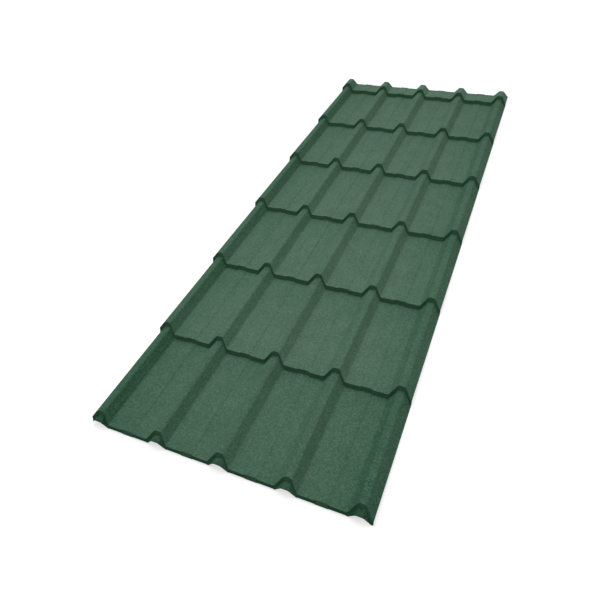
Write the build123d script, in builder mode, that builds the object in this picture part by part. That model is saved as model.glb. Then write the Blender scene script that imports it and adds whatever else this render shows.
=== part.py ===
# Tile-effect metal roofing sheet: one piece of coated metal, pressed into rows of tiles.
# Narrow trapezoidal ribs run up the slope and a step crosses the sheet at every row.
# X runs across the sheet, +Y up the slope towards the ridge, and +Z up, away from the roof.
# The origin is the middle of the sheet's footprint, on the surface that its step feet lie on.
import math
import os

from build123d import *

# Metal
sheet_thickness = 0.5

# Cross-section of one rib, and how the ribs repeat
rib_count = 5
rib_pitch = 210.0
rib_height = 27.0
rib_top_width = 22.0
rib_base_width = 70.0
crest_fold_radius = 10.0
toe_fold_radius = 8.0

# Shallow stiffener along the middle of each pan
stiffener_height = 2.2
stiffener_top_width = 30.0
stiffener_base_width = 44.0

# The last rib laps over the next sheet's first rib, whose outer leg is sheared off short above its toe
side_margin = 2.5
short_leg_rise = 7.0

# Rows of tiles
row_count = 6
row_pitch = 388.0
step_height = 18.0
step_run = 6.0
lip_set_back = 25.0

# The front row is a little shorter, and the sheet is cut part way down its riser.
# The flat head behind the last step goes under the ridge or under the next sheet.
front_trim = 5.0
nose_length = 4.4
head_length = 90.0

# Room around the sheet that is only there to be trimmed away
margin = 60.0

# The panes of each row climb from the foot of one step to the lip of the next
row_fall = step_height / (row_pitch - step_run)
riser_lean = step_run / step_height
up_slope = Vector(0, 1, -row_fall).normalized()
down_riser = Vector(0, -riser_lean, -1).normalized()

# The lip leans back over the ribs, so seen from above the riser is a flatter copy of the wave
set_back_share = lip_set_back / rib_height
plan_share = set_back_share - riser_lean * (1 - row_fall * set_back_share)

rib_line = [(i - (rib_count - 1) / 2) * rib_pitch for i in range(rib_count)]


# A toe turns in two equal bends, which keep as close as they can to its fold radius
rib_slope = math.atan2(rib_height, (rib_base_width - rib_top_width) / 2)
toe_bend = toe_fold_radius * (math.tan(rib_slope / 2) - math.tan(rib_slope / 4))
half_rib = [
    (rib_base_width / 2 + toe_bend, 0),
    (rib_base_width / 2 - toe_bend * math.cos(rib_slope), toe_bend * math.sin(rib_slope)),
    (rib_top_width / 2, rib_height),
]
half_stiffener = [(stiffener_base_width / 2, 0), (stiffener_top_width / 2, stiffener_height)]


def band(middle, half):
    """Corners of one raised band, from its left toe to its right toe."""
    left = [(middle - x, height) for x, height in half]
    return left + [(middle + x, height) for x, height in reversed(half)]


def wave():
    """Corners of the whole cross-section, from left to right, as (x, height above the pan)."""
    corners = []
    for x in rib_line:
        corners += band(x, half_rib)
        if x != rib_line[-1]:
            corners += band(x + rib_pitch / 2, half_stiffener)
    return corners


edge_x = rib_line[-1] + rib_base_width / 2 + margin
deep = -2 * margin
row_reach = row_pitch + 2 * margin


def outline(share, far_y):
    """The wave, its heights scaled by a share, and the far corners that close it into a face."""
    line = [(x, share * height) for x, height in wave()]
    return [(-edge_x, far_y), (-edge_x, 0), *line, (edge_x, 0), (edge_x, far_y)]


def row_form(inset):
    """One row's solid form: all that lies under its cross-section and behind its riser, inset by a thickness."""
    with BuildSketch(Plane.XZ) as section:
        with BuildLine():
            Polyline(*outline(1, deep), close=True)
        make_face()
        fillet([v for v in vertices() if abs(v.Y - rib_height) < 0.001], crest_fold_radius)
        if inset:
            offset(amount=-inset, kind=Kind.INTERSECTION, mode=Mode.REPLACE)
    with BuildSketch(Plane.XY) as footprint:
        with BuildLine():
            Polyline(*outline(plan_share, row_reach), close=True)
        make_face()
        if inset:
            offset(amount=-inset * math.hypot(1, riser_lean), kind=Kind.INTERSECTION, mode=Mode.REPLACE)
    with BuildPart() as form:
        extrude(section.sketch, amount=row_reach, dir=up_slope)
        extrude(section.sketch, amount=margin, dir=-up_slope)
        extrude(footprint.sketch, amount=4 * margin, dir=down_riser, both=True, mode=Mode.INTERSECT)
    return form.part


def stepped_form(inset):
    """Every row's form, one pitch apart, and the row below the first step that the nose is cut from."""
    places = [(0, front_trim - row_pitch, 0), (0, front_trim, -row_fall * front_trim)]
    places += [(0, row * row_pitch, 0) for row in range(1, row_count + 1)]
    with BuildPart() as form:
        with Locations(places):
            add(row_form(inset))
    return form.part


left_edge = rib_line[0] - rib_base_width / 2 + short_leg_rise / math.tan(rib_slope)
right_edge = rib_line[-1] + rib_base_width / 2 + side_margin
front_end = front_trim - nose_length
back_end = row_count * row_pitch + head_length

with BuildPart() as sheet:
    add(stepped_form(0))
    add(stepped_form(sheet_thickness), mode=Mode.SUBTRACT)
    with Locations(((left_edge + right_edge) / 2, (front_end + back_end) / 2, 0)):
        Box(right_edge - left_edge, back_end - front_end, 2 * margin, mode=Mode.INTERSECT)

box = sheet.part.bounding_box()
sheet.part = Pos(-box.center().X, -box.center().Y, -box.min.Z) * sheet.part

os.makedirs("parts", exist_ok=True)
sheet.part.label = "roofing_sheet"
export_step(sheet.part, "parts/roofing_sheet.step")
print("size", box.size, "min", box.min, "volume", sheet.part.volume, "solids", len(sheet.part.solids()))
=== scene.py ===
# Tile effect metal roofing sheet, lying on a plain studio floor.
import bpy
import bmesh
import math
from mathutils import Matrix, Vector


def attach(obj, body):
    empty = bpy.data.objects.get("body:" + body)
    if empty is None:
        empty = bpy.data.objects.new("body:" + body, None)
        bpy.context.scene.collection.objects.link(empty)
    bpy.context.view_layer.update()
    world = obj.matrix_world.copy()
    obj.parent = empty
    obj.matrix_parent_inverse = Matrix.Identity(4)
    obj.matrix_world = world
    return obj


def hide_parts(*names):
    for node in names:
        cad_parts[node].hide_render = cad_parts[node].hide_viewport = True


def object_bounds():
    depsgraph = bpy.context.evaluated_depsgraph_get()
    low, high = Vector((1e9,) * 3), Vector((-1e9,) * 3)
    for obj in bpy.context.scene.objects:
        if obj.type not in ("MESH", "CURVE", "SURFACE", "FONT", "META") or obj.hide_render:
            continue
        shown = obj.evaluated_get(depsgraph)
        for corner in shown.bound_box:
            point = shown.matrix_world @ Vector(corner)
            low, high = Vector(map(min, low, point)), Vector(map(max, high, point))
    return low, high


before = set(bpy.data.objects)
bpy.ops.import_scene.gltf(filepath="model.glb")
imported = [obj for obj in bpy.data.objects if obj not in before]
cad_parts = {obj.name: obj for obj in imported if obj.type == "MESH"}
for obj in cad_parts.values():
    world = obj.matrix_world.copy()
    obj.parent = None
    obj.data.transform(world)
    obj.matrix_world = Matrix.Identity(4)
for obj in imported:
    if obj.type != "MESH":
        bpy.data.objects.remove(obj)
cadBox = [list(corner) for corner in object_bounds()]
millimetre = 0.001

# Every length is in millimetres, as on the drawing of the sheet
roofingSheet = {
    "thickness": 0.5,
    "ribCount": 5,
    "ribPitch": 210.0,
    "ribHeight": 27.0,
    "ribTop": 22.0,
    "ribBase": 70.0,
    "crestRadius": 10.0,
    "toeRadius": 8.0,
    "stiffenerHeight": 2.2,
    "stiffenerTop": 30.0,
    "stiffenerBase": 44.0,
    "stiffenerRadius": 12.0,
    "sideMargin": 2.5,
    "shortLegRise": 7.0,
    "rowCount": 6,
    "rowPitch": 388.0,
    "stepHeight": 18.0,
    "stepRun": 6.0,
    "lipSetBack": 25.0,
    "lipFold": 1.2,         # from the lip's corner to where its bend starts
    "frontTrim": 5.0,
    "noseLength": 4.4,
    "headLength": 90.0,
    "waste": 40.0,          # beyond the outer toes, and sheared away
    "edgeClearance": 0.3,
    "foldSegments": 5,
    "lipSegments": 3,
    "softAngle": 35.0,      # bends up to this many degrees a facet are shaded smooth
}


def linear(hexColour):
    # sRGB hex to the linear values that the shaders take
    channels = [int(hexColour[i:i + 2], 16) / 255 for i in (1, 3, 5)]
    return [c / 12.92 if c <= 0.04045 else ((c + 0.055) / 1.055) ** 2.4 for c in channels] + [1.0]


def addNode(tree, kind, settings=None, links=None):
    # Settings are values of inputs or properties, and a ramp's stops are (place, hex colour) from low to high
    node = tree.nodes.new(kind)
    for name, value in (settings or {}).items():
        if name == "stops":
            for place, _ in value[1:-1]:
                node.color_ramp.elements.new(place)
            for element, (place, hexColour) in zip(node.color_ramp.elements, value):
                element.position = place
                element.color = linear(hexColour)
        elif isinstance(name, int) or name in node.inputs:
            node.inputs[name].default_value = value
        else:
            setattr(node, name, value)
    for name, source in (links or {}).items():
        tree.links.new(source, node.inputs[name])
    return node


def addObject(name, bm):
    mesh = bpy.data.meshes.new(name)
    bm.to_mesh(mesh)
    bm.free()
    thing = bpy.data.objects.new(name, mesh)
    bpy.context.scene.collection.objects.link(thing)
    return thing


def raisedBands(sheet):
    # Every raised band of the section from left to right: its middle, its widths at the foot and the top,
    # its height, and the radii of its toe folds and its shoulder folds
    bands = []
    for i in range(sheet["ribCount"]):
        middle = (i - (sheet["ribCount"] - 1) / 2) * sheet["ribPitch"]
        bands.append((middle, sheet["ribBase"], sheet["ribTop"], sheet["ribHeight"],
                      sheet["toeRadius"], sheet["crestRadius"]))
        if i < sheet["ribCount"] - 1:
            bands.append((middle + sheet["ribPitch"] / 2, sheet["stiffenerBase"], sheet["stiffenerTop"],
                          sheet["stiffenerHeight"], sheet["stiffenerRadius"], sheet["stiffenerRadius"]))
    return bands


def addChain(bm, corners):
    chain = [bm.verts.new(corner) for corner in corners]
    for one, two in zip(chain, chain[1:]):
        bm.edges.new((one, two))
    return chain


def walkedLine(bm):
    # The corners of a chain of edges, from its -Y end to its +Y end
    here = min((v for v in bm.verts if len(v.link_edges) == 1), key=lambda v: v.co.y)
    line, last = [here.co.copy()], None
    while True:
        ways = [e for e in here.link_edges if e is not last]
        if not ways:
            return line
        last = ways[0]
        here = last.other_vert(here)
        line.append(here.co.copy())


def makeRoofingSheet(sheet):
    fall = sheet["stepHeight"] / (sheet["rowPitch"] - sheet["stepRun"])
    setBack = sheet["lipSetBack"] / sheet["ribHeight"]

    # The line that the section is drawn along: up a riser, then gently down a pane, row after row
    pathMesh = bmesh.new()
    corners = []
    for row in range(-1, sheet["rowCount"] + 2):
        station = row * sheet["rowPitch"]
        trim = sheet["frontTrim"] if row == 0 else 0
        corners += [(0, station + trim - sheet["stepRun"], -sheet["stepHeight"]),
                    (0, station + trim, -fall * trim)]
    turns = addChain(pathMesh, corners)
    bmesh.ops.bevel(pathMesh, geom=turns[1:-1], offset=sheet["lipFold"], offset_type="OFFSET",
                    segments=sheet["lipSegments"], profile=0.5, affect="VERTICES", material=-1)
    path = walkedLine(pathMesh)
    pathMesh.free()

    # The section is a chain of folds. It leans back over the ribs, as the lips do, before it is drawn along.
    bm = bmesh.new()
    corners, reaches = [], []
    for middle, base, top, height, toeRadius, shoulderRadius in raisedBands(sheet):
        halfTurn = math.tan(math.atan2(height, (base - top) / 2) / 2)
        corners += [(middle - base / 2, 0, 0), (middle - top / 2, 0, height),
                    (middle + top / 2, 0, height), (middle + base / 2, 0, 0)]
        reaches += [r * halfTurn for r in (toeRadius, shoulderRadius, shoulderRadius, toeRadius)]
    corners = [(corners[0][0] - sheet["waste"], 0, 0)] + corners + [(corners[-1][0] + sheet["waste"], 0, 0)]
    folds = addChain(bm, corners)[1:-1]
    for reach in sorted(set(reaches)):
        bmesh.ops.bevel(bm, geom=[fold for fold, r in zip(folds, reaches) if r == reach], offset=reach,
                        offset_type="OFFSET", segments=sheet["foldSegments"], profile=0.5,
                        affect="VERTICES", material=-1)

    # Two shares for the finish to read. ribShare is how high up a rib a point lies: 0 on a pan, 1 on a crest.
    # rowShare is how far down its pane it lies: 0 at the lip of a step, 1 at the foot of the next.
    ribShare = bm.verts.layers.float.new("ribShare")
    rowShare = bm.verts.layers.float.new("rowShare")
    for vert in bm.verts:
        vert[ribShare] = vert.co.z / sheet["ribHeight"]
        vert[rowShare] = min(1, -path[0].z / sheet["stepHeight"])
    shear = Matrix.Identity(4)
    shear[1][2] = setBack
    shear[2][2] = 1 - fall * setBack
    bmesh.ops.transform(bm, matrix=shear, verts=bm.verts[:])
    bmesh.ops.translate(bm, verts=bm.verts[:], vec=path[0])
    front = bm.edges[:]
    for here, there in zip(path, path[1:]):
        made = bmesh.ops.extrude_edge_only(bm, edges=front)["geom"]
        moved = [v for v in made if isinstance(v, bmesh.types.BMVert)]
        fresh = set(moved)
        front = [e for e in made if isinstance(e, bmesh.types.BMEdge) and fresh.issuperset(e.verts)]
        bmesh.ops.translate(bm, verts=moved, vec=there - here)
        for vert in moved:
            vert[rowShare] = min(1, -there.z / sheet["stepHeight"])

    # The shears cut both ends square and the two long edges down their ribs, a hair in from the drawn size,
    # since the underside of a leaning step reaches further out than its top
    lastToe = ((sheet["ribCount"] - 1) * sheet["ribPitch"] + sheet["ribBase"]) / 2
    rightEdge = lastToe + sheet["sideMargin"]
    flankRun = (sheet["ribBase"] - sheet["ribTop"]) / 2
    leftEdge = -lastToe + sheet["shortLegRise"] / sheet["ribHeight"] * flankRun
    frontEnd = sheet["frontTrim"] - sheet["noseLength"]
    backEnd = sheet["rowCount"] * sheet["rowPitch"] + sheet["headLength"]
    hair = sheet["edgeClearance"]
    for point, normal in (((leftEdge + hair, 0, 0), (-1, 0, 0)), ((rightEdge - hair, 0, 0), (1, 0, 0)),
                          ((0, frontEnd + hair, 0), (0, -1, 0)), ((0, backEnd - hair, 0), (0, 1, 0))):
        bmesh.ops.bisect_plane(bm, geom=bm.verts[:] + bm.edges[:] + bm.faces[:], dist=1e-4, plane_co=point,
                               plane_no=normal, clear_outer=True)
    bmesh.ops.recalc_face_normals(bm, faces=bm.faces[:])
    if sum(face.normal.z for face in bm.faces) < 0:
        bmesh.ops.reverse_faces(bm, faces=bm.faces[:])

    # The middle of the footprint goes to the origin, with the step feet on the floor
    footLevel = -sheet["stepHeight"] - sheet["thickness"] * math.hypot(1, fall)
    bmesh.ops.translate(bm, verts=bm.verts[:],
                        vec=(-(leftEdge + rightEdge) / 2, -(frontEnd + backEnd) / 2, -footLevel))
    bmesh.ops.scale(bm, vec=(millimetre,) * 3, verts=bm.verts[:])
    for face in bm.faces:
        face.smooth = True
    piece = addObject("profiledSheet", bm)
    piece.data.set_sharp_from_angle(angle=math.radians(sheet["softAngle"]))
    metal = piece.modifiers.new("metalThickness", "SOLIDIFY")
    metal.thickness = sheet["thickness"] * millimetre
    metal.offset = -1
    metal.material_offset = 1
    metal.material_offset_rim = 2
    return piece


sheetPiece = makeRoofingSheet(roofingSheet)
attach(sheetPiece, "root")
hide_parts("roofing_sheet")
print("sheet", len(sheetPiece.data.polygons), "faces")


# Mineral grit, bound in matt acrylic over green lacquer: it looks sanded, dry and a little uneven.
# Grains of about a millimetre would be lost in the picture, so they are drawn some four times coarser.
gritCoating = {
    "deep": "#415b4a",
    "coat": "#4e6c59",
    "pale": "#627f6a",
    # The dark green below is painted shade on the risers, flanks, edges, front and step feet, and also
    # darkens the crests
    "shadeGreen": "#024128",
    "grainSize": 5.2,
    "fleckSize": 3.2,
    "fleckShare": 0.4,
    "cloudSize": 70.0,
    "streakWidth": 9.0,
    "streakLength": 420.0,
    "streakShare": 0.4,
    "softShare": 0.35,
    # From here to the patchiness: painted shade on the risers, flanks, long edges, front and step feet, then
    # how much darker the crests are drawn
    "riserShade": 0.97,
    "inwardFlankShade": 0.35,
    "plusXFlankShade": 0.1,
    "sideShade": 0.21,
    "edgeBand": 200.0,
    "frontShade": 0.25,
    "frontBand": 460.0,
    "footShade": 0.2,
    "footShadePower": 3.0,
    "crestDarkening": 0.07,
    "crestDarkeningPower": 3.0,
    "patchiness": 1.2,
    "bumpDepth": 0.5,
    "bumpStrength": 0.6,
    "roughness": 0.86,
    "specular": 0.15,
}


def makeGritCoating(finish, halfWidth, halfLength):
    coating = bpy.data.materials.new("gritCoatedSteel")
    coating.use_nodes = True
    tree = coating.node_tree
    bsdf = tree.nodes["Principled BSDF"]
    surface = addNode(tree, "ShaderNodeTexCoord").outputs
    place = surface["Object"]
    spot = addNode(tree, "ShaderNodeSeparateXYZ", None, {0: place}).outputs
    facing = addNode(tree, "ShaderNodeSeparateXYZ", None, {0: surface["Normal"]}).outputs

    # Grit: clumps of grains over finer flecks, which makes the surface look sanded from close by
    clumps = addNode(tree, "ShaderNodeTexNoise", {"Scale": 1 / (finish["grainSize"] * millimetre),
                                                  "Detail": 2.0, "Roughness": 0.6}, {"Vector": place})
    flecks = addNode(tree, "ShaderNodeTexVoronoi", {"Scale": 1 / (finish["fleckSize"] * millimetre)},
                     {"Vector": place})
    fleckTone = addNode(tree, "ShaderNodeSeparateColor", None, {"Color": flecks.outputs["Color"]})
    grit = addNode(tree, "ShaderNodeMix", {"data_type": "FLOAT", "Factor": finish["fleckShare"]},
                   {"A": clumps.outputs[0], "B": fleckTone.outputs[0]}).outputs[0]

    # Clouds: the grit lies a little thicker here and there, so no two pans look the same
    clouds = addNode(tree, "ShaderNodeTexNoise", {"Scale": 1 / (finish["cloudSize"] * millimetre),
                                                  "Detail": 3.0}, {"Vector": place})

    # Streaks: the coat is drawn out along the sheet by the rollers that shape it
    stretched = addNode(tree, "ShaderNodeVectorMath", {"operation": "MULTIPLY", 1: (
        1 / (finish["streakWidth"] * millimetre), 1 / (finish["streakLength"] * millimetre), 0)}, {0: place})
    streaks = addNode(tree, "ShaderNodeTexNoise", {"Scale": 1.0, "Detail": 2.0},
                      {"Vector": stretched.outputs[0]})
    soft = addNode(tree, "ShaderNodeMix", {"data_type": "FLOAT", "Factor": finish["streakShare"]},
                   {"A": clouds.outputs[0], "B": streaks.outputs[0]}).outputs[0]
    tone = addNode(tree, "ShaderNodeMix", {"data_type": "FLOAT", "Factor": finish["softShare"]},
                   {"A": grit, "B": soft}).outputs[0]
    colour = addNode(tree, "ShaderNodeValToRGB", {"stops": [
        (0.25, finish["deep"]), (0.5, finish["coat"]), (0.75, finish["pale"])]}, {"Fac": tone}).outputs[0]

    # Painted shade: the flanks that face the middle are drawn darker, the more so the further out their rib
    # lies
    outward = addNode(tree, "ShaderNodeMath", {
        "operation": "MULTIPLY", 1: -finish["inwardFlankShade"] / halfWidth}, {0: spot["X"]}).outputs[0]
    inwardShade = addNode(tree, "ShaderNodeMath", {"operation": "MULTIPLY", "use_clamp": True},
                     {0: outward, 1: facing["X"]}).outputs[0]
    # Painted shade: every flank that faces +X, away from the light, is drawn a little darker
    plusXShade = addNode(tree, "ShaderNodeMath", {"operation": "MULTIPLY", "use_clamp": True,
                                           1: finish["plusXFlankShade"]}, {0: facing["X"]}).outputs[0]
    # Painted shade: the sheet is drawn a little darker towards the long edges and the front
    sideways = addNode(tree, "ShaderNodeMath", {"operation": "ABSOLUTE"}, {0: spot["X"]}).outputs[0]
    edges = addNode(tree, "ShaderNodeMapRange", {
        "From Min": halfWidth - finish["edgeBand"] * millimetre, "From Max": halfWidth,
        "To Max": finish["sideShade"]}, {"Value": sideways}).outputs[0]
    eaves = addNode(tree, "ShaderNodeMapRange", {
        "From Min": -halfLength, "From Max": finish["frontBand"] * millimetre - halfLength,
        "To Min": finish["frontShade"], "To Max": 0}, {"Value": spot["Y"]}).outputs[0]
    # Painted shadow: every pane is drawn darker down towards the foot of the next step
    down = addNode(tree, "ShaderNodeAttribute", {"attribute_name": "rowShare"}).outputs["Fac"]
    towardsFoot = addNode(tree, "ShaderNodeMath", {"operation": "POWER", 1: finish["footShadePower"]},
                       {0: down}).outputs[0]
    footShading = addNode(tree, "ShaderNodeMath", {"operation": "MULTIPLY", 1: finish["footShade"]},
                   {0: towardsFoot}).outputs[0]
    # The crests are drawn a little darker
    up = addNode(tree, "ShaderNodeAttribute", {"attribute_name": "ribShare"}).outputs["Fac"]
    high = addNode(tree, "ShaderNodeMath", {"operation": "POWER", 1: finish["crestDarkeningPower"]},
                   {0: up}).outputs[0]
    darkerCrests = addNode(tree, "ShaderNodeMath", {"operation": "MULTIPLY", 1: finish["crestDarkening"]},
                     {0: high}).outputs[0]
    darkening = inwardShade
    for more in (plusXShade, edges, eaves, footShading, darkerCrests):
        darkening = addNode(tree, "ShaderNodeMath", {"operation": "ADD", "use_clamp": True},
                       {0: darkening, 1: more}).outputs[0]
    # The darkening is broken up by the grit, so the dark green shows between its clumps first
    patches = addNode(tree, "ShaderNodeMapRange", {
        "From Min": 0.35, "From Max": 0.65,
        "To Min": finish["patchiness"], "To Max": 2 - finish["patchiness"]}, {"Value": grit}).outputs[0]
    darkening = addNode(tree, "ShaderNodeMath", {"operation": "MULTIPLY", "use_clamp": True},
                   {0: darkening, 1: patches}).outputs[0]
    # Painted shade on the steep risers: they are drawn almost wholly dark green, which makes a dark line
    # under every lip
    steep = addNode(tree, "ShaderNodeMapRange", {"From Min": 0.6, "From Max": 0.3,
                                                 "To Max": finish["riserShade"]}, {"Value": facing["Z"]})
    darkening = addNode(tree, "ShaderNodeMath", {"operation": "MAXIMUM"},
                   {0: darkening, 1: steep.outputs[0]}).outputs[0]
    # The coat colour is mixed towards that dark green by the darkening: painted shade everywhere but on the
    # crests
    worn = addNode(tree, "ShaderNodeMixRGB", {"Color2": linear(finish["shadeGreen"])},
                   {"Fac": darkening, "Color1": colour})
    bump = addNode(tree, "ShaderNodeBump", {"Strength": finish["bumpStrength"],
                                            "Distance": finish["bumpDepth"] * millimetre}, {"Height": grit})
    tree.links.new(worn.outputs[0], bsdf.inputs["Base Color"])
    tree.links.new(bump.outputs[0], bsdf.inputs["Normal"])
    bsdf.inputs["Roughness"].default_value = finish["roughness"]
    bsdf.inputs["Specular IOR Level"].default_value = finish["specular"]
    return coating


backingCoat = {"colour": "#8d8c80", "worn": "#77766c", "cloudSize": 40.0, "roughness": 0.5}


def makeBackingCoat(finish):
    # A thin grey-green lacquer on the underside, which looks a little cloudy where the metal shows through
    coat = bpy.data.materials.new("backingLacquer")
    coat.use_nodes = True
    tree = coat.node_tree
    bsdf = tree.nodes["Principled BSDF"]
    place = addNode(tree, "ShaderNodeTexCoord").outputs["Object"]
    clouds = addNode(tree, "ShaderNodeTexNoise", {"Scale": 1 / (finish["cloudSize"] * millimetre),
                                                  "Detail": 4.0}, {"Vector": place})
    colour = addNode(tree, "ShaderNodeValToRGB", {"stops": [(0.3, finish["worn"]), (0.7, finish["colour"])]},
                     {"Fac": clouds.outputs[0]})
    tree.links.new(colour.outputs[0], bsdf.inputs["Base Color"])
    bsdf.inputs["Roughness"].default_value = finish["roughness"]
    return coat


cutEdge = {"zinc": "#8a8378", "stain": "#6f6558", "spotSize": 3.0, "metallic": 0.6, "roughness": 0.45}


def makeCutEdge(finish):
    # Galvanised steel, bare where it was sheared: a dull grey line with brownish spots
    edge = bpy.data.materials.new("shearedEdge")
    edge.use_nodes = True
    tree = edge.node_tree
    bsdf = tree.nodes["Principled BSDF"]
    place = addNode(tree, "ShaderNodeTexCoord").outputs["Object"]
    spots = addNode(tree, "ShaderNodeTexNoise", {"Scale": 1 / (finish["spotSize"] * millimetre)},
                    {"Vector": place})
    colour = addNode(tree, "ShaderNodeValToRGB", {"stops": [(0.35, finish["stain"]), (0.65, finish["zinc"])]},
                     {"Fac": spots.outputs[0]})
    tree.links.new(colour.outputs[0], bsdf.inputs["Base Color"])
    bsdf.inputs["Metallic"].default_value = finish["metallic"]
    bsdf.inputs["Roughness"].default_value = finish["roughness"]
    return edge


# In the order of the thickness's material offsets: the top, the underside and the rim
for finish in (makeGritCoating(gritCoating, cadBox[1][0], cadBox[1][1]), makeBackingCoat(backingCoat),
               makeCutEdge(cutEdge)):
    sheetPiece.data.materials.append(finish)
print("finishes", [finish.name for finish in sheetPiece.data.materials])

# Matt background paper under and beyond the sheet, on which the eye sees nothing but the sheet's shadow.
# Lengths of the studio are in metres.
studio = {"floorSize": 30.0, "floorColour": "#bcbcbc", "paperGlow": 0.63, "skyStrength": 0.3}


def addSeen(tree):
    # 1 where the eye looks, straight, in a reflection or through glass, and 0 where light only bounces
    path = addNode(tree, "ShaderNodeLightPath").outputs
    seen = path["Is Camera Ray"]
    for way in ("Is Glossy Ray", "Is Transmission Ray"):
        seen = addNode(tree, "ShaderNodeMath", {"operation": "MAXIMUM"}, {0: seen, 1: path[way]}).outputs[0]
    return seen


def makeFloor(room):
    bm = bmesh.new()
    bmesh.ops.create_grid(bm, x_segments=1, y_segments=1, size=room["floorSize"])
    floor = addObject("studioFloor", bm)
    paper = bpy.data.materials.new("whitePaper")
    paper.use_nodes = True
    tree = paper.node_tree
    tree.nodes.clear()
    # The paper's own glow is only there for the eye, so the sheet isn't lit by it and its shadow stays
    glow = addNode(tree, "ShaderNodeMath", {"operation": "MULTIPLY", 1: room["paperGlow"]},
                   {0: addSeen(tree)})
    diffuse = addNode(tree, "ShaderNodeBsdfDiffuse", {"Color": linear(room["floorColour"])})
    emission = addNode(tree, "ShaderNodeEmission", None, {"Strength": glow.outputs[0]})
    both = addNode(tree, "ShaderNodeAddShader", None, {0: diffuse.outputs[0], 1: emission.outputs[0]})
    addNode(tree, "ShaderNodeOutputMaterial", None, {0: both.outputs[0]})
    floor.data.materials.append(paper)


def makeSky(room):
    # White beyond the floor for the eye, and only as strong as skyStrength on the sheet
    sky = bpy.data.worlds.new("studioSky")
    sky.use_nodes = True
    tree = sky.node_tree
    backdrop = tree.nodes["Background"].inputs
    backdrop["Color"].default_value = (1, 1, 1, 1)
    level = addNode(tree, "ShaderNodeMapRange", {"To Min": room["skyStrength"]}, {"Value": addSeen(tree)})
    tree.links.new(level.outputs[0], backdrop["Strength"])
    bpy.context.scene.world = sky


makeFloor(studio)
makeSky(studio)

# A wide, soft light from high up on the left and behind, and a softbox overhead that evens out the pans
skylight = {"strength": 1.87, "spread": 80.0, "towards": (-0.25, 0.36, 0.88)}
softbox = {"power": 8.0, "size": 1.6, "place": (0.0, -0.3, 2.2)}


def addLamp(name, kind, strength):
    lamp = bpy.data.lights.new(name, kind)
    lamp.energy = strength
    thing = bpy.data.objects.new(name, lamp)
    bpy.context.scene.collection.objects.link(thing)
    return thing


sky = addLamp("skylight", "SUN", skylight["strength"])
sky.data.angle = math.radians(skylight["spread"])
sky.rotation_euler = Vector(skylight["towards"]).to_track_quat("Z", "Y").to_euler()
box = addLamp("softbox", "AREA", softbox["power"])
box.data.size = softbox["size"]
box.location = softbox["place"]
print("studio", bpy.context.scene.world.name, "with", len(bpy.data.lights), "lamps")

# The camera stands above the near right corner, and its turns about X, Y and Z are in degrees
photoView = {
    "lens": 32.025,
    "sensor": 36.0,
    "place": (0.60741, -1.72895, 1.39274),
    "turn": (44.35007, 5.35881, 22.62014),
}
camera = bpy.data.cameras.new("photoCamera")
camera.lens = photoView["lens"]
camera.sensor_width = photoView["sensor"]
cameraObject = bpy.data.objects.new("photoCamera", camera)
bpy.context.scene.collection.objects.link(cameraObject)
cameraObject.location = photoView["place"]
cameraObject.rotation_euler = [math.radians(angle) for angle in photoView["turn"]]
bpy.context.scene.camera = cameraObject
bpy.context.scene.view_settings.view_transform = "Standard"
print("camera", cameraObject.name, "with a lens of", photoView["lens"], "mm")
